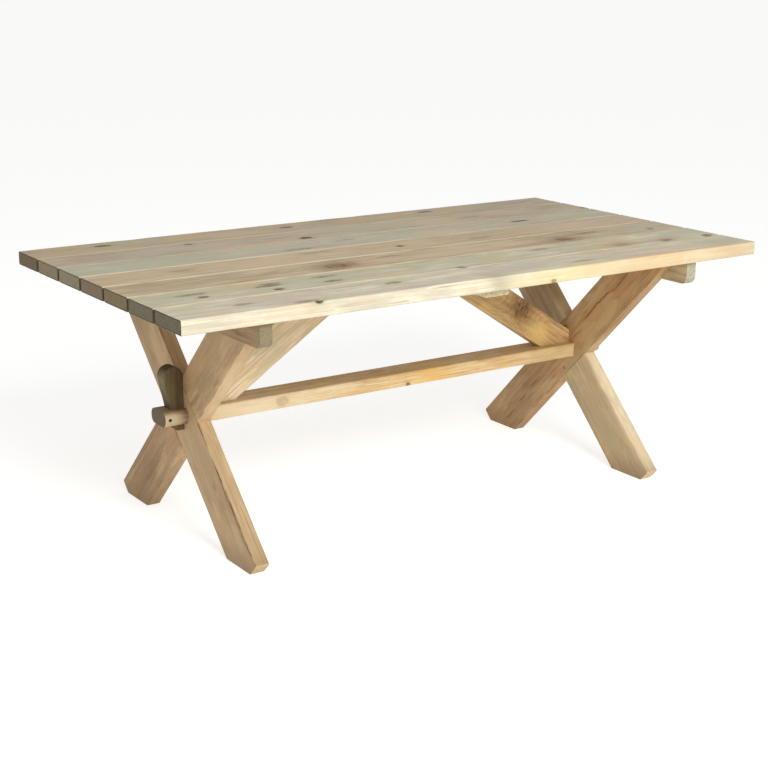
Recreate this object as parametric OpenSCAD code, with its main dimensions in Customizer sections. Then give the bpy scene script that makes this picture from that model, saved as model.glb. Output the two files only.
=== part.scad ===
// Fixed garden table in treated softwood: seven planks on two crossed-leg
// trestles, tied together by one stretcher that is locked by a removable key
// at each end. Origin on the floor under the middle of the top, +X along the
// length, +Z up. "Front" is -Y, "left" is -X.

/* [Top] */
// Length of the planks
top_l = 1940; // [1700:10:2300]
// Height of the upper face of the top above the floor
top_h = 754; // [720:1:780]
// Number of planks
plank_count = 7; // [7]
// Width of one plank
plank_w = 145; // [130:1:150]
// Gap between neighbouring planks
plank_gap = 7; // [4:1:10]
// Thickness of the planks
plank_t = 40; // [36:1:45]
// Radius worked onto the long edges of every board
arris = 4; // [2:0.5:6]

/* [Trestles] */
// Distance from the middle of the table to the outer face of the legs
leg_face = 721; // [650:1:760]
// Width of the leg boards
leg_w = 142; // [130:1:150]
// Thickness of the leg boards
leg_t = 42; // [38:1:46]
// Height at which the two legs of a trestle cross
cross_h = 350; // [330:1:370]
// Length that the square-cut board end takes off the toe of each foot
foot_clip = 65; // [30:1:80]
// Radius on the corner of the toe
toe_round = 8; // [5:1:12]
// Depth of the bearer under the planks
bearer_h = 70; // [60:1:90]
// Thickness of the bearer
bearer_t = 36; // [32:1:42]
// Depth to which the bearers are let into the legs
bearer_in = 12; // [8:1:16]
// Distance from the middle of the table to each end of a bearer
bearer_reach = 506; // [480:1:520]
// Radius of the lower corner at each end of a bearer
bearer_round = 24; // [10:1:30]

/* [Middle batten] */
// Width of the batten under the middle of the planks
batten_w = 84; // [76:1:120]
// Thickness of the batten
batten_t = 24; // [18:1:26]
// Distance from the middle of the table to each end of the batten
batten_reach = 490; // [470:1:510]
// Distance of the batten to the right of the middle
batten_x = 8; // [0:1:12]

/* [Stretcher] */
// Width of the stretcher, which lies flat
stretcher_w = 92; // [88:1:100]
// Height of the stretcher
stretcher_t = 44; // [38:1:46]
// Width of the tenons at its ends
tenon_w = 91; // [78:1:91]
// Length of tenon that stands out of the trestle
tenon_out = 69; // [65:1:90]
// Radius on the long edges of the tenons
tenon_round = 20; // [6:1:20]

/* [Braces] */
// Slope of the braces above the horizontal
brace_angle = 33; // [31:0.5:35]
// Width of the brace boards
brace_w = 102; // [96:1:116]
// Thickness of the brace boards
brace_t = 40; // [36:1:44]
// Length of the cut that sits on the stretcher
brace_seat = 124; // [116:1:140]

/* [Keys] */
// Thickness of the keys
key_t = 40; // [30:1:40]
// Width of a key where its round head begins
key_head_w = 60; // [54:1:62]
// Width of a key just above the tenon
key_neck_w = 40; // [34:1:54]
// Width of the shank that passes through the tenon
key_shank_w = 23; // [20:1:28]
// Height of the head of the left key above the tenon
key_left_h = 122; // [100:1:130]
// Height of the head of the right key above the tenon
key_right_h = 102; // [90:1:130]
// Length of the shank below its shoulder
key_shank_h = 63; // [56:1:70]

/* [Hidden] */
$fn = 48;

LEFT = -1;
RIGHT = 1;
FRONT_FOOT = 1;
REAR_FOOT = -1;

past = 1;             // how far a cutting shape runs past the wood
leg_slope = 45;       // legs cross at a right angle
plank_pitch = plank_w + plank_gap;
under_h = top_h - plank_t;                  // underside of the planks
leg_inner = leg_face - leg_t;
leg_mid = leg_face - leg_t / 2;
bearer_mid = leg_face - bearer_in + bearer_t / 2;
bearer_face = bearer_mid + bearer_t / 2;
stretcher_top = cross_h + stretcher_t / 2;
tenon_end = leg_face + tenon_out;

// Leg length below the crossing, from the clip at the toe
toe_y = cross_h + leg_w / 2 / cos(leg_slope);
leg_down = (toe_y - foot_clip + cross_h) * cos(leg_slope);
leg_up = (under_h - cross_h) / cos(leg_slope) + leg_w;

// Fits
mortise_gap = 0.5;    // round the tenon in the legs
key_gap = 0.3;        // between a key and anything that it slides past
key_slot_gap = 0.5;   // round the shank in the tenon
key_slot_in = 2;      // the slot starts this far inside the leg's face
side_hole_d = 10;     // small hole in the front side of each tenon
side_hole_deep = 25;
side_hole_in = 14;    // from the end of the tenon

// Screws: shank diameter, length, head diameter, head height
PLANK_SCREW = [6, 75, 12, 4];
BATTEN_SCREW = [5, 50, 10, 3];
BEARER_SCREW = [6, 55, 12, 4];
LAP_SCREW = [5, 32, 9, 3];
BRACE_SCREW = [6, 80, 12, 4];
BRACE_TOP_SCREW = [6, 50, 12, 4];
screw_gap = 0.1;      // round the shank
head_gap = 0.3;       // round the head
plank_screw_off = 30; // each side of a plank's middle
plank_screw_in = 25;  // counterbore in the bearer
bearer_screw_off = 35; // each side of a leg's middle
bearer_screw_up = 10;  // above the middle of the bearer
bearer_screw_in = 6;
lap_screw_off = 70;   // above and below the crossing
lap_screw_in = 6;
brace_screw_x = leg_inner - 60;
brace_screw_in = 8;
brace_top_x = batten_w / 2 + batten_x + 32;
brace_top_in = 10;

function plank_y(i) = (i - (plank_count + 1) / 2) * plank_pitch;

// Outline of a rectangle with round corners, centred
function rounded_rect(w, h, r, steps = 6) = [
    for (c = [[1, 1, 0], [-1, 1, 90], [-1, -1, 180], [1, -1, 270]])
        for (i = [0 : steps])
            let (a = c[2] + i * 90 / steps)
            [c[0] * (w / 2 - r) + r * cos(a), c[1] * (h / 2 - r) + r * sin(a)]
];

// Points of an arc
function arc(cx, cy, r, from, to, steps = 12) = [
    for (i = [0 : steps])
        let (a = from + (to - from) * i / steps)
        [cx + r * cos(a), cy + r * sin(a)]
];

// Height of the lower edge of a brace at a distance x from the middle
function brace_low(x) = stretcher_top + (leg_inner - brace_seat - x) * tan(brace_angle);

// Screw places, each the middle of the bearing face of a head. Every plank has
// two screws in a row, set apart by off_x and plank_screw_off.
function plank_screw_at(x, off_x, z) = [
    for (i = [1 : plank_count]) for (s = [-1, 1])
        [x + s * off_x, plank_y(i) + s * plank_screw_off, z]
];
bearer_screw_holes = plank_screw_at(bearer_mid, 0, under_h - bearer_h + plank_screw_in);
batten_screw_holes = plank_screw_at(batten_x, batten_w / 4, under_h - batten_t + BATTEN_SCREW[3]);
leg_top_y = under_h - bearer_h / 2 - cross_h;
leg_screw_holes = [
    for (s = [-1, 1]) for (k = [-1, 1])
        [bearer_face - bearer_screw_in, s * leg_top_y + k * bearer_screw_off,
         under_h - bearer_h / 2 + bearer_screw_up]
];
lap_screw_holes = [
    for (k = [-1, 1]) [leg_inner + lap_screw_in, 0, cross_h + k * lap_screw_off]
];
brace_foot_hole = [brace_screw_x, 0, cross_h - stretcher_t / 2 + brace_screw_in];
brace_top_hole = [brace_top_x, 0, brace_low(brace_top_x) + brace_top_in];

// Mirrors a right-hand part to the other end of the table
module on_side(side) {
    if (side == LEFT) mirror([1, 0, 0]) children();
    else children();
}

// Board with round long edges, along X, centred
module board(length, width, thick) {
    rotate([90, 0, 90])
        linear_extrude(length, center = true)
            polygon(rounded_rect(width, thick, arris));
}

// Screw that points up, with the bearing face of its head at the origin
module screw(kind) {
    tip = kind[0];
    difference() {
        union() {
            translate([0, 0, -kind[3]]) cylinder(d = kind[2], h = kind[3]);
            cylinder(d = kind[0], h = kind[1] - tip);
            translate([0, 0, kind[1] - tip]) cylinder(d1 = kind[0], d2 = 0.5, h = tip);
        }
        translate([0, 0, -kind[3] - past])
            cylinder(d = kind[0] * 0.75, h = past + kind[3] * 0.7, $fn = 6);
    }
}

// Space for a screw, with its counterbore running out of the wood
module screw_space(kind, out) {
    cylinder(d = kind[0] + 2 * screw_gap, h = kind[1] + past);
    translate([0, 0, -out]) cylinder(d = kind[2] + 2 * head_gap, h = out);
}

module screws_up(kind, places) {
    for (p = places) translate(p) screw(kind);
}

module spaces_up(kind, places, out) {
    for (p = places) translate(p) screw_space(kind, out);
}

module spaces_towards_middle() {
    for (p = leg_screw_holes)
        translate(p) rotate([0, -90, 0]) screw_space(BEARER_SCREW, bearer_screw_in + past);
}

module lap_screw_spaces() {
    for (p = lap_screw_holes)
        translate(p) rotate([0, 90, 0]) screw_space(LAP_SCREW, lap_screw_in + past);
}

module brace_screw_spaces() {
    translate(brace_foot_hole) screw_space(BRACE_SCREW, brace_screw_in + past);
    translate(brace_top_hole) screw_space(BRACE_TOP_SCREW, brace_w);
}

// Both ends of the table at once
module both_sides() {
    for (side = [LEFT, RIGHT]) on_side(side) children();
}

module plank(i) {
    rows = [for (p = bearer_screw_holes) if (abs(p[1] - plank_y(i)) < plank_w / 2) p];
    middle = [for (p = batten_screw_holes) if (abs(p[1] - plank_y(i)) < plank_w / 2) p];
    tint = ["#b9ab8c", "#b3ad8e", "#c2a98a", "#b0ad94", "#bea78b", "#b5a98d", "#b1aa91"];
    color(tint[i - 1])
        difference() {
            translate([0, plank_y(i), top_h - plank_t / 2])
                board(top_l, plank_w, plank_t);
            both_sides() spaces_up(PLANK_SCREW, rows, past);
            spaces_up(BATTEN_SCREW, middle, past);
            if (plank_y(i) == 0) both_sides() brace_screw_spaces();
        }
}

// Cross member let into the outer face of the legs, under the planks
module bearer(side) {
    flat = bearer_reach - bearer_round;
    low = under_h - bearer_h;
    outline = concat(
        [[-bearer_reach, under_h]],
        arc(-flat, low + bearer_round, bearer_round, 180, 270),
        arc(flat, low + bearer_round, bearer_round, 270, 360),
        [[bearer_reach, under_h]]);
    color("#a8875c")
        on_side(side)
            difference() {
                intersection() {
                    translate([bearer_mid, 0, under_h - bearer_h / 2])
                        rotate([0, 0, 90])
                            board(2 * bearer_reach + past, bearer_t, bearer_h);
                    translate([bearer_mid, 0, 0])
                        rotate([90, 0, 90])
                            linear_extrude(bearer_t + 2 * past, center = true)
                                polygon(outline);
                }
                spaces_up(PLANK_SCREW, bearer_screw_holes, bearer_h);
                spaces_towards_middle();
            }
}

module centre_batten() {
    color("#e6d3a8")
        difference() {
            translate([batten_x, 0, under_h - batten_t / 2])
                rotate([0, 0, 90]) board(2 * batten_reach, batten_w, batten_t);
            spaces_up(BATTEN_SCREW, batten_screw_holes, BATTEN_SCREW[3] + past);
        }
}

// Leg board through the crossing, before it is cut to the floor and the top
module leg_board(foot) {
    length = leg_down + leg_up;
    translate([leg_mid, 0, cross_h])
        rotate([-foot * leg_slope, 0, 0])
            translate([0, 0, length / 2 - leg_down])
                intersection() {
                    linear_extrude(length, center = true)
                        polygon(rounded_rect(leg_t, leg_w, arris));
                    rotate([90, 0, 90])
                        linear_extrude(leg_t + 2 * past, center = true)
                            polygon(rounded_rect(leg_w, length, toe_round));
                }
}

// Housing in the outer face that takes the bearer
module bearer_housing() {
    translate([leg_face - bearer_in, -under_h, under_h - bearer_h])
        cube([bearer_in + past, 2 * under_h, bearer_h + past]);
}

// Half-thickness notch that takes the other leg of the trestle
module lap_notch(foot) {
    x = foot == FRONT_FOOT ? leg_inner - past : leg_mid;
    translate([x, 0, cross_h])
        rotate([foot * leg_slope, 0, 0])
            translate([0, -leg_w / 2, -leg_w])
                cube([leg_t / 2 + past, leg_w, 2 * leg_w]);
}

// Named by the side on which its foot stands. The leg with the front foot runs
// whole across the outer face, the other one across the inner face.
module leg(side, foot) {
    color(foot == FRONT_FOOT ? "#c29a66" : "#caa474")
        on_side(side)
            difference() {
                intersection() {
                    leg_board(foot);
                    translate([leg_inner - past, -under_h, 0])
                        cube([leg_t + 2 * past, 2 * under_h, under_h]);
                }
                lap_notch(foot);
                bearer_housing();
                translate([leg_mid, 0, cross_h])
                    rotate([90, 0, 90])
                        linear_extrude(leg_t + 2 * past, center = true)
                            polygon(rounded_rect(tenon_w + 2 * mortise_gap,
                                                 stretcher_t + 2 * mortise_gap,
                                                 tenon_round));
                lap_screw_spaces();
                spaces_towards_middle();
            }
}

// Ties the trestles together; its tenons pass through both crossings
module stretcher() {
    color("#d8b98a")
        difference() {
            translate([0, 0, cross_h]) union() {
                board(2 * leg_inner, stretcher_w, stretcher_t);
                rotate([90, 0, 90])
                    linear_extrude(2 * tenon_end, center = true)
                        polygon(rounded_rect(tenon_w, stretcher_t, tenon_round));
            }
            both_sides() {
                slot_l = key_slot_in + key_gap + key_shank_w + key_slot_gap;
                translate([leg_face - key_slot_in, -key_t / 2 - key_slot_gap,
                           cross_h - stretcher_t])
                    cube([slot_l, key_t + 2 * key_slot_gap, 2 * stretcher_t]);
                translate([tenon_end - side_hole_in, -tenon_w / 2 + side_hole_deep, cross_h])
                    rotate([90, 0, 0]) cylinder(d = side_hole_d, h = side_hole_deep + past);
                brace_screw_spaces();
            }
        }
}

// Diagonal board from the stretcher up to the batten and the planks
module brace(side) {
    mid_x = leg_inner - brace_seat;
    batten_side = batten_w / 2 + side * batten_x;
    color("#d9b06c")
        on_side(side)
            difference() {
                intersection() {
                    translate([mid_x, 0, stretcher_top])
                        rotate([0, brace_angle, 0])
                            translate([0, 0, brace_w / 2])
                                rotate([90, 0, 0])
                                    board(3 * leg_inner, brace_w, brace_t);
                    translate([batten_side, -brace_t, stretcher_top])
                        cube([leg_inner - batten_side, 2 * brace_t, under_h - stretcher_top]);
                }
                brace_screw_spaces();
            }
}

// Key that locks a tenon: a round-headed shoulder above, a shank through the slot
module key(side) {
    x0 = leg_face + key_gap;
    r = key_head_w / 2;
    z0 = stretcher_top;
    head_h = side == LEFT ? key_left_h : key_right_h;
    outline = concat(
        [[x0, z0 - key_shank_h], [x0 + key_shank_w, z0 - key_shank_h],
         [x0 + key_shank_w, z0], [x0 + key_neck_w, z0]],
        arc(x0 + r, z0 + head_h - r, r, 0, 180, 24));
    color("#6f6040")
        on_side(side)
            translate([0, key_t / 2, 0])
                rotate([90, 0, 0]) linear_extrude(key_t) polygon(outline);
}

module plank_screws(side) {
    color("silver") on_side(side) screws_up(PLANK_SCREW, bearer_screw_holes);
}

module batten_screws() {
    color("silver") screws_up(BATTEN_SCREW, batten_screw_holes);
}

module bearer_screws(side) {
    color("silver") on_side(side)
        for (p = leg_screw_holes) translate(p) rotate([0, -90, 0]) screw(BEARER_SCREW);
}

module lap_screws(side) {
    color("silver") on_side(side)
        for (p = lap_screw_holes) translate(p) rotate([0, 90, 0]) screw(LAP_SCREW);
}

module brace_screws(side) {
    color("silver") on_side(side) {
        translate(brace_foot_hole) screw(BRACE_SCREW);
        translate(brace_top_hole) screw(BRACE_TOP_SCREW);
    }
}

for (i = [1 : plank_count])
    plank(i);
bearer(LEFT);  // bearer_left
bearer(RIGHT);  // bearer_right
centre_batten();
leg(LEFT, FRONT_FOOT);  // leg_left_front
leg(LEFT, REAR_FOOT);  // leg_left_rear
leg(RIGHT, FRONT_FOOT);  // leg_right_front
leg(RIGHT, REAR_FOOT);  // leg_right_rear
stretcher();
brace(LEFT);  // brace_left
brace(RIGHT);  // brace_right
key(LEFT);  // key_left
key(RIGHT);  // key_right
plank_screws(LEFT);  // plank_screws_left
plank_screws(RIGHT);  // plank_screws_right
batten_screws();
bearer_screws(LEFT);  // bearer_screws_left
bearer_screws(RIGHT);  // bearer_screws_right
lap_screws(LEFT);  // lap_screws_left
lap_screws(RIGHT);  // lap_screws_right
brace_screws(LEFT);  // brace_screws_left
brace_screws(RIGHT);  // brace_screws_right
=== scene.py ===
"""Looks of the garden table: weathered softwood boards, dark keys and zinc screws.

Every board has its own material, worked out in board coordinates: u along the
grain, v across the width and w through the thickness, in millimetres from the
middle of the board. Growth rings are shells round a pith line beside the
board, so faces, edges and end grain agree with each other.
"""

import math

import bmesh
import bpy
from mathutils import Matrix, Vector, noise


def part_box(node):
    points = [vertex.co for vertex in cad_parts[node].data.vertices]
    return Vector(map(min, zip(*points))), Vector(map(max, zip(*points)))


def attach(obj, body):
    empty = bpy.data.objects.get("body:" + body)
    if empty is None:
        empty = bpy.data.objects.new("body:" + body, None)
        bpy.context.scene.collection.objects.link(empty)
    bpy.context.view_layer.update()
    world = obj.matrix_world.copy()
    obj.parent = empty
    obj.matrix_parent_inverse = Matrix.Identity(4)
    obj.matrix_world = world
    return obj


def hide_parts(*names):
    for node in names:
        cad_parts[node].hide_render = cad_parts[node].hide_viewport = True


MM = 0.001

# Camera
CAMERA_AT = Vector((-2.5135, -3.697, 1.577))
CAMERA_YAW = math.radians(33.82)     # from +Y towards +X
CAMERA_PITCH = math.radians(15.63)   # below the horizon
CAMERA_ROLL = 0.0038
CAMERA_LENS = 71.10
SENSOR = 36.0

# Light: a soft key in front and a pale sky
KEY_AT = Vector((-0.8, -4.6, 3.3))
KEY_AIM = Vector((0.0, 0.0, 0.5))
KEY_SIZE = 2.0
KEY_WATTS = 205.0
SKY_HORIZON = 0.96
SKY_ZENITH = 0.52
SKY_FADE = 0.35   # sine of the height where the sky has its tone overhead
FLOOR_HALF = 300.0
FLOOR_TONE = (202, 201, 198)
FLOOR_GLOW = 0.62

# Geometry that the frame gives no box for
LEG_SLOPE = math.radians(45)
BRACE_ANGLE = math.radians(33)   # above the horizontal
BRACE_SEAT = 0.124               # from the leg to the lower edge of a brace
BRACE_WIDTH = 0.102
LEG_ARRIS_V = 69.0   # just inside the long edges of a leg, in mm along its v
LEG_ARRIS_W = 19.5   # and its w

# Plank meshes: the section, and how far it is worn and waved inwards
PLANK_ARRIS = 4 * MM
ARRIS_STEPS = 5
FACE_SPANS = 10
EDGE_SPANS = 3
PLANK_STEP = 14 * MM
END_BEVEL = 1.5 * MM
END_TRIM = 0.8 * MM
ARRIS_WEAR = 1.3 * MM
ARRIS_WEAR_SHARE = 0.7
SIDE_WAVE = 0.5 * MM
FACE_WAVE = 0.5 * MM
CUP = 0.5 * MM
SAWN_EDGE = 1.2 * MM   # rounding of every other board

# Colours of marks in the wood, and of painted shade in the plank gaps and along the leg edges
KNOT_HALO = (146, 112, 72)
KNOT_CORE = (56, 40, 27)
KNOT_RIM = (38, 28, 19)
RINGED_CORE = (132, 96, 58)
RINGED_LINE = (78, 56, 34)
FOOT_DIRT = (104, 84, 58)
ARRIS_SHADE = (112, 84, 54)
GAP_SHADE = (44, 36, 26)
CHECK_BORDER = (140, 90, 52)
CHECK_DEPTH = (74, 48, 28)
ZINC_BRIGHT = (196, 198, 200)
ZINC_DULL = (150, 148, 140)


def srgb(red, green, blue):
    """An sRGB colour from 0 to 255 as the linear colour that a socket takes."""
    def linear(value):
        value /= 255
        return value / 12.92 if value <= 0.04045 else ((value + 0.055) / 1.055) ** 2.4
    return (linear(red), linear(green), linear(blue), 1.0)


# ---------------------------------------------------------------- shader tools

class Field:
    """A number that varies over a surface, with ordinary arithmetic."""

    def __init__(self, shader, socket):
        self.shader = shader
        self.socket = socket

    def _do(self, operation, *others):
        return self.shader.math(operation, self, *others)

    def __add__(self, other):
        return self._do("ADD", other)

    def __radd__(self, other):
        return self._do("ADD", other)

    def __sub__(self, other):
        return self._do("SUBTRACT", other)

    def __mul__(self, other):
        return self._do("MULTIPLY", other)

    def __truediv__(self, other):
        return self._do("DIVIDE", other)

    def root(self):
        return self._do("SQRT")

    def absolute(self):
        return self._do("ABSOLUTE")

    def fraction(self):
        return self._do("FRACT")

    def bell(self):
        """exp(-x), which falls from 1 as x grows from 0."""
        return (self * -1.0)._do("EXPONENT")

    def least(self, other):
        return self._do("MINIMUM", other)

    def most(self, other):
        return self._do("MAXIMUM", other)

    def angle_from(self, other):
        return self._do("ARCTAN2", other)

    def step(self, start, end, low=0.0, high=1.0):
        """Goes smoothly from low to high as this goes from start to end."""
        node = self.shader.add("ShaderNodeMapRange", interpolation_type="SMOOTHSTEP")
        for name, value in (("Value", self), ("From Min", start), ("From Max", end),
                            ("To Min", low), ("To Max", high)):
            self.shader.feed(node.inputs[name], value)
        return Field(self.shader, node.outputs["Result"])


class Shader:
    """One material with one Principled node, and short ways to add nodes to it."""

    def __init__(self, name, **fixed):
        self.material = bpy.data.materials.new(name)
        self.material.use_nodes = True
        self.tree = self.material.node_tree
        self.tree.nodes.clear()
        self.surface = self.add("ShaderNodeBsdfPrincipled")
        output = self.add("ShaderNodeOutputMaterial")
        self.tree.links.new(self.surface.outputs["BSDF"], output.inputs["Surface"])
        for socket, value in fixed.items():
            self.surface.inputs[socket.replace("_", " ")].default_value = value

    def add(self, kind, **settings):
        node = self.tree.nodes.new(kind)
        for name, value in settings.items():
            setattr(node, name, value)
        return node

    def feed(self, socket, value):
        """Links a field or an output to the socket, or sets a plain value on it."""
        if isinstance(value, Field):
            value = value.socket
        if isinstance(value, bpy.types.NodeSocket):
            self.tree.links.new(value, socket)
        else:
            socket.default_value = value

    def math(self, operation, *values):
        node = self.add("ShaderNodeMath", operation=operation)
        for socket, value in zip(node.inputs, values):
            self.feed(socket, value)
        return Field(self, node.outputs[0])

    def noise(self, place, scale, detail=2.0, roughness=0.5):
        """Noise centred on 0, about -0.5 to 0.5, at place times scale."""
        stretch = self.add("ShaderNodeVectorMath", operation="MULTIPLY")
        self.feed(stretch.inputs[0], place)
        self.feed(stretch.inputs[1], scale)
        texture = self.add("ShaderNodeTexNoise", noise_dimensions="3D")
        self.feed(texture.inputs["Vector"], stretch.outputs[0])
        self.feed(texture.inputs["Scale"], 1.0)
        self.feed(texture.inputs["Detail"], detail)
        self.feed(texture.inputs["Roughness"], roughness)
        return Field(self, texture.outputs["Fac"]) - 0.5

    def vector(self, *parts):
        node = self.add("ShaderNodeCombineXYZ")
        for socket, part in zip(node.inputs, parts):
            self.feed(socket, part)
        return node.outputs[0]

    def mix(self, amount, start, end):
        """A colour between start and end, by amount from 0 to 1."""
        node = self.add("ShaderNodeMix", data_type="RGBA")
        for socket, value in ((node.inputs[0], amount), (node.inputs[6], start),
                              (node.inputs[7], end)):
            self.feed(socket, value)
        return node.outputs[2]

    def board_place(self, centre, axes):
        """Millimetres along, across and through a board, as one vector."""
        turn = Matrix(axes).transposed().to_euler()
        coordinates = self.add("ShaderNodeTexCoord")
        mapping = self.add("ShaderNodeMapping", vector_type="TEXTURE")
        self.feed(mapping.inputs["Vector"], coordinates.outputs["Object"])
        self.feed(mapping.inputs["Location"], centre)
        self.feed(mapping.inputs["Rotation"], turn)
        self.feed(mapping.inputs["Scale"], (MM, MM, MM))
        return mapping.outputs[0]

    def facing(self, direction):
        """How squarely the surface faces along a direction or against it, 0 to 1."""
        coordinates = self.add("ShaderNodeTexCoord")
        dot = self.add("ShaderNodeVectorMath", operation="DOT_PRODUCT")
        self.feed(dot.inputs[0], coordinates.outputs["Normal"])
        self.feed(dot.inputs[1], direction)
        return Field(self, dot.outputs["Value"]).absolute()

    def split(self, vector):
        node = self.add("ShaderNodeSeparateXYZ")
        self.feed(node.inputs[0], vector)
        return [Field(self, output) for output in node.outputs]

    def bump(self, height, distance, strength):
        node = self.add("ShaderNodeBump")
        self.feed(node.inputs["Height"], height)
        self.feed(node.inputs["Distance"], distance)
        self.feed(node.inputs["Strength"], strength)
        self.tree.links.new(node.outputs[0], self.surface.inputs["Normal"])


# ------------------------------------------------------------------- the boards

X, Y, Z = Vector((1, 0, 0)), Vector((0, 1, 0)), Vector((0, 0, 1))


class Board:
    """Where a board is, which way its grain runs, and how its wood looks.

    Places are (u, v, w) in millimetres. A check is (start u, end u, v, width).
    A stain is (place, half sizes, colour, amount); some stains are painted shade or
    painted highlight rather than a mark in the wood. A tint is (colour, amount) and shows in
    clouds all over the board.
    """

    def __init__(self, name, centre, along, across, light, dark, end,
                 pith=(0, -90), ring=5.0, taper=0.006, knots=(), checks=(), stains=(),
                 tints=(), streaks=1.0, rings=1.0, mottle=1.0, foot=0.0, arris_shade_amount=0.0,
                 slot="frame_timber"):
        self.name = name
        self.centre = centre
        self.axes = (along, across, along.cross(across))
        self.light, self.dark, self.end = light, dark, end
        self.pith, self.ring, self.taper = pith, ring, taper
        self.knots, self.checks, self.stains, self.tints = knots, checks, stains, tints
        self.streaks, self.rings, self.mottle = streaks, rings, mottle
        self.foot, self.arris_shade_amount = foot, arris_shade_amount
        self.slot = slot
        self.seam = None


class Knot:
    """A knot: its middle and half sizes (u, v, w) in mm, how dark, and if ringed."""

    def __init__(self, place, size, dark, ringed=False):
        self.place, self.size, self.dark, self.ringed = place, size, dark, ringed


TOP = 20     # w of the upper face of a plank
FRONT = -72  # v of the front face of a plank


def eye(u, v, radius, dark=0.95):
    """A small dark knot in the upper face of a plank."""
    return Knot((u, v, TOP), (radius * 1.35, radius, 80), dark)


def smear(u, v, length, dark=0.4):
    """A knot cut along its length, which leaves a long faint mark."""
    return Knot((u, v, TOP), (length, 9, 60), dark)


def flame(u, v, radius, dark=0.5):
    """A large knot whose own rings show."""
    return Knot((u, v, TOP), (radius * 1.7, radius, 90), dark, ringed=True)


def edge_knot(u, w, radius, dark=0.8):
    """A knot in the front face of a plank."""
    return Knot((u, FRONT, w), (radius * 1.2, 30, radius), dark)


GREEN = (180, 183, 154)
LILAC = (184, 174, 160)
PINK = (208, 180, 150)
TAN = (198, 172, 130)
SHADE = (158, 146, 122)
BROWN = (166, 138, 100)
PEACH = (212, 178, 128)
YELLOW = (222, 200, 140)
# painted highlight colours for the lit front arris of the planks at the seams
SEAM_HIGHLIGHT = (208, 192, 160)
SEAM_HIGHLIGHT_DULL = (184, 168, 138)


def patch(u, v, length, width, colour, amount=0.6):
    """A soft stain in the upper face of a plank."""
    return ((u, v, TOP), (length, width, 40), colour, amount)


def edge_patch(u, length, colour, amount=0.6):
    """A soft stain in the front face of a plank."""
    return ((u, FRONT, 0), (length, 16, 60), colour, amount)


def middle(node):
    low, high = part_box(node)
    return (low + high) / 2


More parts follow.
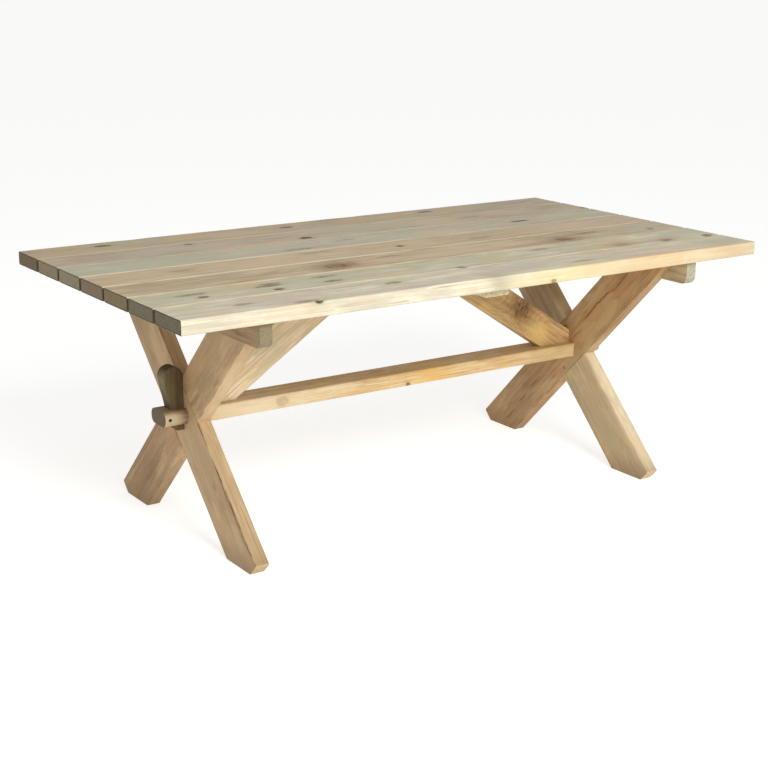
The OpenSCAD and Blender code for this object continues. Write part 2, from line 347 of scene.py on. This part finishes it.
def plank_boards():
    """The seven planks, from the front one to the rear one."""
    looks = [
        dict(light=(222, 214, 190), dark=(192, 180, 152), end=(100, 92, 68),
             pith=(18, -120), ring=5.5, tints=[(GREEN, 0.4), (LILAC, 0.4), (PINK, 0.3)],
             knots=[Knot((-585, -70, 20), (9, 6, 6), 1.0), smear(-610, -50, 34, 0.4),
                    smear(-760, 5, 26), smear(-300, 20, 24, 0.5),
                    edge_knot(175, -15, 6, 0.7), smear(330, -20, 30, 0.3)],
             stains=[patch(-700, -20, 160, 50, LILAC, 0.45), patch(100, 20, 170, 60, LILAC),
                     patch(520, 0, 130, 60, PINK, 0.4), patch(880, 0, 90, 80, GREEN, 0.7),
                     edge_patch(250, 220, YELLOW), edge_patch(620, 260, PEACH, 0.8),
                     edge_patch(880, 120, TAN, 0.9), edge_patch(-880, 90, LILAC, 0.4),
                     edge_patch(-20, 34, SHADE, 0.45), patch(-20, -50, 34, 30, SHADE, 0.4)]),
        dict(light=(220, 212, 186), dark=(182, 170, 140), end=(104, 95, 72),
             pith=(-20, -80), ring=5.0, tints=[(GREEN, 0.6), (TAN, 0.45), (LILAC, 0.3)],
             knots=[eye(-805, -20, 9, 0.9), smear(-820, 20, 40, 0.45),
                    eye(-595, -40, 9, 0.85), smear(-600, 10, 34, 0.6),
                    smear(-585, 30, 28, 0.5), smear(-415, 35, 34, 0.45),
                    smear(-420, -25, 26, 0.55), eye(-25, -65, 9, 0.7),
                    flame(590, -45, 20, 0.5), flame(760, -55, 14, 0.7),
                    eye(925, -65, 11, 0.9), smear(330, 30, 30, 0.35)],
             stains=[patch(-860, 10, 130, 60, GREEN), patch(-520, -10, 130, 60, GREEN, 0.7),
                     patch(-640, 30, 90, 30, TAN, 0.6), patch(0, 10, 150, 60, GREEN, 0.4),
                     patch(560, -30, 130, 40, TAN, 0.6), patch(900, 0, 90, 70, GREEN)]),
        dict(light=(206, 190, 162), dark=(174, 154, 122), end=(115, 101, 70),
             pith=(6, -70), ring=6.0, tints=[(PINK, 0.45), (BROWN, 0.35), (LILAC, 0.3)],
             knots=[flame(-300, -10, 30, 0.85), flame(505, -30, 24, 0.85),
                    smear(640, 20, 36, 0.4), smear(-100, 30, 40, 0.3),
                    eye(860, -30, 9, 0.5)],
             stains=[patch(-840, -10, 150, 60, BROWN, 0.5), patch(-330, 0, 90, 50, BROWN, 0.5),
                     patch(60, 0, 170, 60, PINK, 0.5), patch(500, -10, 110, 50, BROWN, 0.45),
                     patch(860, 0, 110, 60, GREEN, 0.6)]),
        dict(light=(208, 192, 164), dark=(178, 158, 126), end=(117, 100, 76),
             pith=(-30, -100), ring=5.5, tints=[(PINK, 0.5), (LILAC, 0.35), (TAN, 0.4)],
             knots=[eye(15, -5, 9, 1.0), Knot((-250, 40, 20), (50, 4, 60), 0.5),
                    smear(300, -20, 40, 0.3), smear(-700, 10, 36, 0.3)],
             stains=[patch(-420, 10, 160, 50, PINK, 0.6), patch(-750, 0, 120, 50, TAN, 0.4),
                     patch(300, 10, 150, 60, BROWN, 0.35), patch(760, 0, 150, 60, PINK, 0.4)]),
        dict(light=(204, 198, 174), dark=(174, 164, 136), end=(128, 118, 93),
             pith=(24, -76), ring=4.6, tints=[(GREEN, 0.55), (LILAC, 0.5), (PINK, 0.35)],
             knots=[smear(600, 5, 30, 0.85), Knot((-260, -40, 20), (60, 4, 60), 0.7),
                    smear(-60, 20, 30, 0.3)],
             stains=[patch(-700, 0, 210, 60, GREEN, 0.75), patch(-150, 0, 120, 60, LILAC, 0.4),
                     patch(300, 0, 170, 60, PINK, 0.5), patch(60, 0, 120, 50, GREEN, 0.5)]),
        dict(light=(202, 186, 158), dark=(170, 152, 124), end=(126, 111, 83),
             pith=(-14, -88), ring=5.2, tints=[(PINK, 0.4), (LILAC, 0.55), (GREEN, 0.3)],
             knots=[eye(-505, 55, 9, 0.6), eye(-150, -40, 13, 1.0),
                    eye(965, -50, 11, 0.8), smear(500, 0, 40, 0.3)],
             stains=[patch(-560, 0, 200, 60, LILAC, 0.55), patch(80, 0, 150, 60, GREEN, 0.6),
                     patch(360, 0, 130, 60, PINK, 0.6), patch(-820, 0, 100, 60, BROWN, 0.35)]),
        dict(light=(198, 182, 154), dark=(166, 148, 118), end=(100, 83, 56),
             pith=(30, -96), ring=5.6, tints=[(LILAC, 0.35), (TAN, 0.5), (GREEN, 0.35)],
             knots=[smear(-730, 15, 21, 1.0), smear(-105, 5, 20, 1.0),
                    smear(445, 20, 24, 0.8)],
             stains=[patch(-800, 0, 140, 60, TAN, 0.4), patch(-350, 0, 170, 60, PINK, 0.4),
                     patch(250, 0, 150, 60, TAN, 0.4), patch(700, 0, 150, 60, LILAC, 0.4)]),
    ]
    # painted highlight on the front arris of each plank behind a gap; the front plank has none
    seam_highlights = [None, SEAM_HIGHLIGHT, SEAM_HIGHLIGHT, SEAM_HIGHLIGHT, SEAM_HIGHLIGHT, SEAM_HIGHLIGHT_DULL, SEAM_HIGHLIGHT_DULL]
    boards = []
    for i, (look, seam) in enumerate(zip(looks, seam_highlights), 1):
        node = f"plank_{i}"
        board = Board(node, middle(node), X, Y, rings=0.55, slot="top_timber", **look)
        board.seam = seam
        boards.append(board)
    return boards


def frame_boards():
    """Legs, bearers, batten, stretcher and braces."""
    cross = middle("stretcher")
    reach = middle("leg_right_front").x
    lean = math.sin(LEG_SLOPE)
    to_rear, to_front = Vector((0, lean, lean)), Vector((0, -lean, lean))
    leg = dict(rings=0.45, streaks=0.75, foot=0.45,
               tints=[((190, 150, 108), 0.4), ((166, 146, 108), 0.4), ((206, 178, 134), 0.4)])
    boards = [
        Board("leg_left_front", cross - reach * X, to_rear, to_front,
              light=(192, 164, 126), dark=(162, 134, 98), end=(178, 154, 114),
              pith=(10, -110), ring=6.0, arris_shade_amount=0.9,
              knots=[Knot((-250, 20, -21), (9, 6, 60), 0.3)],
              checks=[(-500, -170, 66, 2.2)],
              stains=[((-90, -10, -21), (90, 50, 30), (176, 150, 112), 0.6),
                      # painted shade under the tabletop on the upper part of the leg
                      ((400, 0, -10), (150, 90, 40), (140, 112, 78), 0.7)], **leg),
        Board("leg_left_rear", cross - reach * X, to_front, -to_rear,
              light=(180, 150, 112), dark=(146, 116, 80), end=(160, 134, 96),
              pith=(-20, -90), ring=5.5, arris_shade_amount=0.5,
              stains=[((-360, 0, -21), (150, 90, 60), (118, 92, 60), 0.65),
                      ((260, -20, 0), (160, 50, 60), (174, 146, 108), 0.5),
                      # painted highlight on the lit front edge face of the leg
                      ((260, 77, 0), (220, 13, 60), (212, 186, 148), 0.85)], **leg),
        Board("leg_right_front", cross + reach * X, to_rear, to_front,
              light=(180, 162, 130), dark=(148, 126, 92), end=(190, 168, 132),
              pith=(-12, 100), ring=6.0, arris_shade_amount=0.15,
              stains=[((-260, 10, -21), (220, 60, 50), (172, 160, 124), 0.55),
                      # painted highlight on the lit front edge face of the leg
                      ((-260, 78, 0), (340, 14, 60), (236, 218, 184), 0.95),
                      # painted shade under the tabletop on the upper part of the leg's inner face
                      ((260, 0, -21), (180, 90, 60), (114, 90, 58), 0.85)], **leg),
        Board("leg_right_rear", cross + reach * X, to_front, -to_rear,
              light=(186, 148, 102), dark=(146, 110, 70), end=(168, 136, 96),
              pith=(4, -80), ring=5.0, arris_shade_amount=0.5,
              checks=[(130, 330, -14, 3.4), (290, 430, -8, 2.2), (40, 130, 0, 1.2),
                      (-260, -170, 4, 1.8), (-345, -270, 10, 2.6), (-450, -365, 18, 2.8),
                      (-420, -350, -10, 1.6)],
              stains=[((-300, 0, -21), (180, 90, 60), (130, 100, 68), 0.7),
                      ((200, 10, -21), (140, 40, 60), (176, 134, 86), 0.5)], **leg),
        Board("stretcher", cross, X, Y, light=(222, 196, 150), dark=(190, 156, 106),
              end=(98, 82, 58), pith=(-70, 30), ring=7.0, rings=0.7,
              tints=[((228, 206, 168), 0.5), ((204, 160, 96), 0.4)],
              knots=[Knot((20, -46, -18), (7, 6, 6), 1.0),
                     Knot((-420, -46, 0), (18, 9, 14), 0.25)],
              stains=[((-520, -46, 0), (240, 60, 60), (222, 206, 176), 0.8),
                      ((110, -46, 0), (70, 60, 60), (220, 174, 96), 0.7),
                      ((560, -46, 0), (180, 60, 60), (188, 158, 108), 0.7),
                      ((-770, -46, -4), (34, 60, 30), (176, 164, 132), 0.95),
                      # painted shade on the left tenon next to the leg
                      ((-722, 0, 0), (28, 400, 200), (84, 68, 42), 0.95),
                      # painted shade on the top of the left tenon
                      ((-765, 0, 24), (90, 400, 8), (92, 76, 50), 0.95),
                      # painted shadow of the tabletop on the top of the stretcher
                      ((0, 10, 26), (900, 400, 7), (150, 122, 84), 0.8)]),
        Board("centre_batten", middle("centre_batten"), Y, -X, light=(222, 210, 176),
              dark=(206, 190, 154), end=(186, 174, 142), pith=(10, -90), mottle=0.4),
    ]
    bearers = dict(
        left=dict(light=(160, 135, 100), dark=(126, 102, 70), end=(124, 112, 86),
                  stains=[((-490, 0, 0), (26, 60, 40), (150, 134, 104), 0.6)]),
        right=dict(light=(192, 172, 136), dark=(162, 140, 104), end=(160, 156, 132),
                   stains=[((-470, -34, 0), (60, 9, 40), (96, 84, 60), 0.8)]))
    braces = dict(
        left=dict(light=(236, 218, 184), dark=(208, 184, 146), pith=(-30, 90), rings=0.6,
                  tints=[((226, 196, 150), 0.5), ((190, 176, 134), 0.5), ((216, 176, 136), 0.4)]),
        right=dict(light=(214, 180, 126), dark=(168, 132, 84), pith=(16, -80), rings=0.8,
                   tints=[((222, 184, 120), 0.5), ((164, 126, 80), 0.4)],
                   knots=[Knot((140, 17, -20), (34, 29, 60), 1.0, ringed=True)],
                   stains=[((112, 6, -20), (60, 34, 60), (150, 104, 56), 0.6),
                           ((30, -14, -20), (40, 34, 60), (224, 188, 110), 0.7)]))
    for side, sign in (("left", -1), ("right", 1)):
        boards.append(Board(f"bearer_{side}", middle(f"bearer_{side}"), Y, Z,
                            pith=(8, -60 * sign), rings=0.5, **bearers[side]))
        low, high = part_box(f"brace_{side}")
        foot = Vector((sign * (max(abs(low.x), abs(high.x)) - BRACE_SEAT), 0, low.z))
        rise = Vector((-sign * math.cos(BRACE_ANGLE), 0, math.sin(BRACE_ANGLE)))
        up = Vector((sign * math.sin(BRACE_ANGLE), 0, math.cos(BRACE_ANGLE)))
        boards.append(Board(f"brace_{side}", foot + up * BRACE_WIDTH / 2, rise, up,
                            end=(150, 120, 78), **braces[side]))
        boards.append(Board(f"key_{side}", middle(f"key_{side}"), Z, X, rings=0.5, mottle=0.6,
                            light=(104, 88, 56), dark=(74, 60, 36), end=(70, 58, 36),
                            pith=(20, -60), ring=7.0, slot="key_timber",
                            stains=[((0, 30 * sign, 0), (90, 8, 60), (136, 124, 94), 0.75),
                                    ((-80, 0, 0), (30, 60, 60), (112, 74, 42), 0.7)]))
    return boards


def board_half(board):
    """Half the width and half the thickness of a plank, in millimetres."""
    low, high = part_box(board.name)
    return (high.y - low.y) / 2 / MM, (high.z - low.z) / 2 / MM


def scaled(colour, factor):
    """An sRGB colour made darker or lighter, as a linear colour."""
    return srgb(*[channel * factor for channel in colour])


def ellipsoid(coordinates, middle_at, half):
    """Squared distance from a point, 1 on the ellipsoid with those half sizes."""
    total = 0.0
    for field, at, size in zip(coordinates, middle_at, half):
        part = (field - at) * (1.0 / size)
        total = part * part + total
    return total


class Wood:
    """The material of one board, built up in layers of colour and relief."""

    def __init__(self, board):
        self.board = board
        self.shader = s = Shader(f"wood_{board.name}", Specular_IOR_Level=0.25)
        self.place = s.board_place(board.centre, board.axes)
        self.u, self.v, self.w = s.split(self.place)
        self.seed = 1 + sum(map(ord, board.name)) % 97
        self.wobble = self.grain((0.03, 0.06, 0.06), 2.0)
        self.crumb = self.grain((0.07, 0.12, 0.12), 2.0)
        bent = (self.u + self.wobble * 18.0 + self.crumb * 14.0,
                self.v + self.wobble * 10.0 + self.crumb * 12.0, self.w)
        self.spots = [ellipsoid(bent, knot.place, knot.size) for knot in board.knots]
        self.rings, self.from_v, self.from_w = self.ring_field()
        phase = (self.rings / board.ring).fraction()
        self.late = phase.step(0.25, 0.92) * phase.step(0.94, 1.0, 1.0, 0.0)
        self.fibre = self.grain((0.012, 0.55, 0.55), 3.0, 0.6)
        self.streak = self.grain((0.0030, 0.110, 0.110), 4.0, 0.65)
        self.vein = self.grain((0.0060, 0.260, 0.260), 2.0, 0.5, shift=7)
        self.mottle = self.grain((0.014, 0.045, 0.045), 5.0, 0.72)
        self.cloud = self.grain((0.0042, 0.014, 0.014), 2.0)
        self.relief = 0.0

    def grain(self, scale, detail, roughness=0.5, shift=0):
        """Noise that is long along the grain and differs from board to board."""
        seed = self.seed
        moved = self.shader.vector(self.u + (seed * 371.0 + shift * 1730.0),
                                   self.v + seed * 53.0, self.w + seed * 29.0)
        return self.shader.noise(moved, scale, detail, roughness)

    def ring_field(self):
        """Distance from the pith in millimetres, bent by growth and by the knots."""
        board = self.board
        across, through = board.pith
        wander = self.shader.noise(self.place, (0.0022, 0.006, 0.006), detail=1.0)
        ripple = self.shader.noise(self.place, (0.011, 0.035, 0.035), detail=2.0)
        from_v = self.v - across + wander * 34.0
        from_w = self.w - through
        rings = (from_v * from_v + from_w * from_w).root()
        rings = rings + self.u * board.taper + ripple * 5.0
        for knot, far in zip(board.knots, self.spots):
            rings = rings + (far / 6.0).bell() * (knot.size[1] * 0.9)
        return rings, from_v, from_w

    def material(self):
        """Puts the layers over each other and hands back the finished material."""
        s, board = self.shader, self.board
        colour = self.plain()
        colour = self.add_stains_and_light(colour)
        colour = self.knotted(colour)
        if board.foot:
            colour = self.dirty_foot(colour)
        # painted shade along the long edges of the legs
        if board.arris_shade_amount:
            colour = self.paint_arris_shade(colour)
        if board.slot == "top_timber":
            colour = self.plank_gaps(colour)
        colour = self.end_grain(colour)
        colour = self.checked(colour)
        s.tree.links.new(colour, s.surface.inputs["Base Color"])
        s.feed(s.surface.inputs["Roughness"], 0.66 + self.fibre * 0.22 - self.late * 0.06)
        height = self.fibre * 0.8 + self.late * -0.3 + self.streak * 0.5 + self.relief
        s.bump(height, 0.35 * MM, 0.6)
        return s.material

    def plain(self):
        """Light and dark wood with rings, veins and the board's tints."""
        s, board = self.shader, self.board
        tone = 0.42 + self.cloud * 0.75 + self.streak * (1.9 * board.streaks) + self.fibre * 0.36
        tone = tone + self.mottle * (1.15 * board.mottle) + self.late * (0.34 * board.rings)
        colour = s.mix(tone.step(0.0, 1.0), srgb(*board.light), srgb(*board.dark))
        veined = self.vein.step(0.07, 0.20) * (0.75 * board.streaks)
        colour = s.mix(veined, colour, scaled(board.dark, 0.80))
        for i, (tint, amount) in enumerate(board.tints, 1):
            field = self.grain((0.0052, 0.017, 0.017), 3.0, 0.55, shift=i)
            colour = s.mix(field.step(0.0, 0.10) * amount, colour, srgb(*tint))
        return colour

    def add_stains_and_light(self, colour):
        """Soft stains with drifting borders, among them painted shade and painted highlights."""
        for at, half, tint, amount in self.board.stains:
            drift = (self.u + self.cloud * min(130.0, half[0]),
                     self.v + self.wobble * min(40.0, half[1]),
                     self.w + self.wobble * min(10.0, half[2]))
            near = ellipsoid(drift, at, half).bell()
            near = near * (0.85 + self.streak * 1.4).least(1.0) * amount
            colour = self.shader.mix(near, colour, srgb(*tint))
        return colour

    def knotted(self, colour):
        """Knots with a brown halo, and a dark core or rings of their own."""
        s = self.shader
        for knot, far in zip(self.board.knots, self.spots):
            halo = (far / 2.4).bell()
            core = far.step(1.2, 0.35)
            rim = far.step(1.7, 1.0) * far.step(0.5, 0.95)
            colour = s.mix(halo * (0.55 * knot.dark), colour, srgb(*KNOT_HALO))
            if knot.ringed:
                shells = (far.root() * (knot.size[1] / 5.0) + self.wobble * 1.6).fraction()
                line = shells.step(0.45, 0.8) * shells.step(1.0, 0.85) * (far / 2.2).bell()
                tick = self.grain((0.16, 0.02, 0.02), 2.0, 0.6).step(0.02, 0.14)
                tick = tick * (far / 1.5).bell()
                marks = (line * 0.9 + tick * 0.8).least(1.0) * knot.dark
                colour = s.mix(core * (0.45 * knot.dark), colour, srgb(*RINGED_CORE))
                colour = s.mix(marks, colour, srgb(*RINGED_LINE))
            else:
                patchy = (self.crumb * 2.2 + 0.88).least(1.0).most(0.2)
                colour = s.mix(core * (0.95 * knot.dark) * patchy, colour, srgb(*KNOT_CORE))
                colour = s.mix(rim * (0.80 * knot.dark) * patchy, colour, srgb(*KNOT_RIM))
            self.relief = rim * (-0.5 * knot.dark) + self.relief
        return colour

    def dirty_foot(self, colour):
        """Dirt that has crept up from the ground."""
        s = self.shader
        height = s.split(s.add("ShaderNodeTexCoord").outputs["Object"])[2]
        dirt = (height + self.mottle * 0.05).step(0.075, 0.0)
        return s.mix(dirt * self.board.foot, colour, srgb(*FOOT_DIRT))

    def paint_arris_shade(self, colour):
        """Painted shade: a broken dark line along the long edges of a leg."""
        corner = ((self.v.absolute() - LEG_ARRIS_V).absolute()
                  + (self.w.absolute() - LEG_ARRIS_W).absolute())
        broken = self.grain((0.012, 0.0, 0.0), 3.0).step(-0.08, 0.10)
        line = (corner + self.wobble * 4.0).step(4.4, 1.4) * broken
        return self.shader.mix(line * self.board.arris_shade_amount, colour, srgb(*ARRIS_SHADE))

    def plank_gaps(self, colour):
        """Painted shade on the sides of a plank inside the gaps, and a painted highlight on its
        front arris.
        """
        s, board, u, v, w = self.shader, self.board, self.u, self.v, self.w
        half_v, half_w = board_half(board)
        # painted shade: the sides of the plank inside the gaps are darkened, where little light
        # gets in
        side = v.absolute().step(half_v - 2.6, half_v - 1.4)
        side = side * w.step(half_w - 1.5, half_w - 4.0)
        if board.name == "plank_1":
            side = side * v.step(-5.0, 5.0)
        if board.name == "plank_7":
            side = side * v.step(5.0, -5.0)
        gap_shade_patchiness = self.grain((0.02, 0.05, 0.05), 3.0)
        colour = s.mix(side * (0.86 + gap_shade_patchiness * 0.5), colour, srgb(*GAP_SHADE))
        if board.seam:
            # painted highlight on the front arris, broken up and fading along the plank
            edge = v.step(4.0 - half_v, 2.6 - half_v) * w.step(half_w - 4.2, half_w - 2.2)
            highlight_breaks = self.grain((0.009, 0.0, 0.0), 3.0).step(-0.16, 0.08, 0.35, 1.0)
            fade = u.step(-500.0, 700.0, 0.9, 0.2)
            colour = s.mix(edge * highlight_breaks * fade, colour, srgb(*board.seam))
        return colour

    def end_grain(self, colour):
        """Rings, rays and pores on the sawn ends, with painted shade round the rims of the plank
        ends.
        """
        s, board = self.shader, self.board
        end = s.facing(board.axes[0]).step(0.55, 0.85)
        around = s.vector(self.from_w.angle_from(self.from_v) * 14.0, self.rings * 0.01,
                          self.u * 0.004)
        spoke = s.noise(around, (1.0, 1.0, 1.0), detail=2.0)
        pores = self.grain((0.02, 0.11, 0.11), 3.0, 0.6)
        dark = self.late * 0.35 + spoke.step(0.12, 0.22) * 0.45 + pores.step(-0.05, 0.3) * 0.5
        if board.slot == "top_timber":
            half_v, half_w = board_half(board)
            # painted shade: the plank ends darken towards their edges
            outside = (self.v.absolute() - half_v).most(self.w.absolute() - half_w)
            dark = dark + (outside + self.wobble * 3.0).step(-6.0, -1.0)
        sawn = s.mix(dark.least(1.0), scaled(board.end, 1.10), scaled(board.end, 0.66))
        return s.mix(end, colour, sawn)

    def checked(self, colour):
        """Drying cracks along the grain, in the face that looks back along w."""
        s, u, v, w = self.shader, self.u, self.v, self.w
        for start, stop, at_v, width in self.board.checks:
            sway = self.grain((0.009, 0.0, 0.0), 2.0) * 20.0
            sway = sway + self.grain((0.07, 0.0, 0.0), 3.0) * 9.0
            beside = (v - at_v + sway).absolute()
            window = u.step(start, start + 40.0) * u.step(stop, stop - 40.0)
            window = window * w.step(-18.0, -20.0)
            torn = self.grain((0.06, 0.3, 0.3), 2.0).step(-0.16, 0.06, 0.25, 1.0)
            line = beside.step(width, width * 0.25) * window * torn
            shade = (beside / (width * 3.0)).bell() * window
            colour = s.mix(shade * 0.35, colour, srgb(*CHECK_BORDER))
            colour = s.mix(line * 0.85, colour, srgb(*CHECK_DEPTH))
            self.relief = line * -1.0 + self.relief
        return colour


def zinc():
    """Zinc-plated steel of the screws, with dull patches and turning marks."""
    s = Shader("zinc", Metallic=1.0)
    coordinates = s.add("ShaderNodeTexCoord").outputs["Object"]
    dull = s.noise(coordinates, (260.0, 260.0, 260.0), detail=3.0)
    fine = s.noise(coordinates, (2400.0, 2400.0, 500.0), detail=1.0)
    colour = s.mix(dull.step(-0.2, 0.25), srgb(*ZINC_BRIGHT), srgb(*ZINC_DULL))
    s.tree.links.new(colour, s.surface.inputs["Base Color"])
    s.feed(s.surface.inputs["Roughness"], 0.36 + dull * 0.3)
    s.bump(fine, 0.02 * MM, 0.5)
    return s.material


# --------------------------------------------------------------------- meshes

def plank_profile(width, thick):
    """Points round the cross-section as (y, z, y sign, z sign), signs 0 on flats."""
    r = PLANK_ARRIS
    half_y, half_z = width / 2 - r, thick / 2 - r
    points = []
    corners = ((1, 1, 0), (-1, 1, 90), (-1, -1, 180), (1, -1, 270))
    flats = (FACE_SPANS, EDGE_SPANS, FACE_SPANS, EDGE_SPANS)
    for (sy, sz, start), spans in zip(corners, flats):
        for i in range(ARRIS_STEPS + 1):
            a = math.radians(start + 90 * i / ARRIS_STEPS)
            points.append((sy * half_y + r * math.cos(a), sz * half_z + r * math.sin(a),
                           sy, sz))
        last = points[-1]
        turn = math.radians(start + 90)
        run = 2 * (half_y if spans == FACE_SPANS else half_z)
        for i in range(1, spans):
            points.append((last[0] - run * i / spans * math.sin(turn),
                           last[1] + run * i / spans * math.cos(turn), 0, 0))
    return points


def plank(board):
    """A sawn plank with worn edges, a slight cup and a wavy planed face."""
    low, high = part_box(board.name)
    centre = (low + high) / 2
    size = high - low
    seed = 10 * sum(map(ord, board.name))
    profile = plank_profile(size.y, size.z)
    steps = round((size.x - 2 * END_BEVEL) / PLANK_STEP)
    trim = [END_TRIM * abs(noise.noise(Vector((seed, side, 0.5)))) for side in (0, 3)]
    start, stop = low.x + trim[0], high.x - trim[1]
    stations = [(start, END_BEVEL)]
    stations += [(start + END_BEVEL + (stop - start - 2 * END_BEVEL) * i / steps, 0.0)
                 for i in range(steps + 1)]
    stations += [(stop, END_BEVEL)]

    mesh = bmesh.new()
    loops = []
    for x, inset in stations:
        loop = []
        for y, z, sy, sz in profile:
            wear = ARRIS_WEAR * max(0.0, noise.noise(Vector((x * 9, seed + sy, sz))))
            side = SIDE_WAVE * (0.5 + 0.5 * noise.noise(Vector((x * 2, seed, y * 3))))
            face = FACE_WAVE * (0.5 + 0.5 * noise.noise(Vector((x * 5, y * 22, seed))))
            cup = CUP * (1 - (2 * y / size.y) ** 2)
            y -= (math.copysign(side, y) * abs(2 * y / size.y)
                  + sy * wear * ARRIS_WEAR_SHARE)
            z -= sz * wear * ARRIS_WEAR_SHARE
            if z > 0:
                z -= face + cup
            y -= math.copysign(min(inset, abs(y)), y)
            z -= math.copysign(min(inset, abs(z)), z)
            loop.append(mesh.verts.new((x, centre.y + y, centre.z + z)))
        loops.append(loop)
    count = len(profile)
    for one, two in zip(loops, loops[1:]):
        for i in range(count):
            j = (i + 1) % count
            mesh.faces.new((one[i], two[i], two[j], one[j]))
    mesh.faces.new(loops[0])
    mesh.faces.new(reversed(loops[-1]))
    bmesh.ops.recalc_face_normals(mesh, faces=mesh.faces)
    data = bpy.data.meshes.new(f"{board.name}_timber")
    mesh.to_mesh(data)
    mesh.free()
    data.polygons.foreach_set("use_smooth", [True] * len(data.polygons))
    piece = bpy.data.objects.new(f"{board.name}_timber", data)
    bpy.context.scene.collection.objects.link(piece)
    crisp(piece)
    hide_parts(board.name)
    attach(piece, "table")
    return piece


def crisp(piece):
    """Lets the flats stay flat where they meet small round edges."""
    normals = piece.modifiers.new("normals", "WEIGHTED_NORMAL")
    normals.keep_sharp = False
    normals.weight = 60


def soften(node, width):
    """Rounds the sawn edges of a CAD board without touching its mesh."""
    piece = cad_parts[node]
    data = piece.data
    if "custom_normal" in data.attributes:
        data.attributes.remove(data.attributes["custom_normal"])
    data.polygons.foreach_set("use_smooth", [True] * len(data.polygons))
    weld = piece.modifiers.new("weld", "WELD")
    weld.merge_threshold = 0.01 * MM
    flat = piece.modifiers.new("flat", "DECIMATE")
    flat.decimate_type = "DISSOLVE"
    flat.angle_limit = math.radians(0.5)
    bevel = piece.modifiers.new("bevel", "BEVEL")
    bevel.width = width
    bevel.segments = 2
    bevel.limit_method = "ANGLE"
    bevel.angle_limit = math.radians(32)
    crisp(piece)


def paint(piece, material):
    piece.data.materials.clear()
    piece.data.materials.append(material)


# ------------------------------------------------------------------- the stage

def add_camera():
    data = bpy.data.cameras.new("camera")
    data.lens = CAMERA_LENS
    data.sensor_width = SENSOR
    camera = bpy.data.objects.new("camera", data)
    turn = (Matrix.Rotation(-CAMERA_YAW, 4, "Z")
            @ Matrix.Rotation(math.pi / 2 - CAMERA_PITCH, 4, "X")
            @ Matrix.Rotation(CAMERA_ROLL, 4, "Z"))
    camera.matrix_world = Matrix.Translation(CAMERA_AT) @ turn
    bpy.context.scene.collection.objects.link(camera)
    bpy.context.scene.camera = camera


def add_key_light():
    data = bpy.data.lights.new("key", "AREA")
    data.energy = KEY_WATTS
    data.size = KEY_SIZE
    lamp = bpy.data.objects.new("key", data)
    aim = (KEY_AIM - KEY_AT).to_track_quat("-Z", "Y")
    lamp.matrix_world = Matrix.Translation(KEY_AT) @ aim.to_matrix().to_4x4()
    bpy.context.scene.collection.objects.link(lamp)


def add_sky():
    """White at the horizon and greyer overhead."""
    world = bpy.data.worlds.new("sky")
    world.use_nodes = True
    tree = world.node_tree
    direction = tree.nodes.new("ShaderNodeTexCoord")
    split = tree.nodes.new("ShaderNodeSeparateXYZ")
    fade = tree.nodes.new("ShaderNodeMapRange")
    fade.inputs["To Min"].default_value = SKY_HORIZON
    fade.inputs["To Max"].default_value = SKY_ZENITH
    fade.inputs["From Max"].default_value = SKY_FADE
    background = tree.nodes["Background"]
    background.inputs["Color"].default_value = (1, 1, 1, 1)
    tree.links.new(direction.outputs["Generated"], split.inputs[0])
    tree.links.new(split.outputs["Z"], fade.inputs["Value"])
    tree.links.new(fade.outputs["Result"], background.inputs["Strength"])
    bpy.context.scene.world = world


def add_floor():
    shader = Shader("floor", Roughness=0.9, Specular_IOR_Level=0.1,
                    Emission_Strength=FLOOR_GLOW)
    shader.surface.inputs["Base Color"].default_value = srgb(*FLOOR_TONE)
    shader.surface.inputs["Emission Color"].default_value = (1, 1, 1, 1)
    mesh = bpy.data.meshes.new("floor")
    h = FLOOR_HALF
    mesh.from_pydata([(-h, -h, 0), (h, -h, 0), (h, h, 0), (-h, h, 0)], [], [(0, 1, 2, 3)])
    mesh.materials.append(shader.material)
    floor = bpy.data.objects.new("floor", mesh)
    bpy.context.scene.collection.objects.link(floor)


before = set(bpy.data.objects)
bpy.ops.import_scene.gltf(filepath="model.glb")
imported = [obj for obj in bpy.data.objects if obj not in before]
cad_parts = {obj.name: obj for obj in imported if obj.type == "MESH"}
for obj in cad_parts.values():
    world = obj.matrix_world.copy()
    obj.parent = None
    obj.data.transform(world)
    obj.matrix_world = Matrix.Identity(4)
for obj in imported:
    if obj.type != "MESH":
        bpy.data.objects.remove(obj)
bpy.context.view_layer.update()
bpy.context.scene.view_settings.view_transform = "Standard"
add_camera()
add_key_light()
add_sky()
add_floor()

for board in plank_boards():
    paint(plank(board), Wood(board).material())
for board in frame_boards():
    soften(board.name, SAWN_EDGE)
    paint(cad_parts[board.name], Wood(board).material())
screws = zinc()
for name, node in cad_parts.items():
    if "screws" in name:
        paint(node, screws)
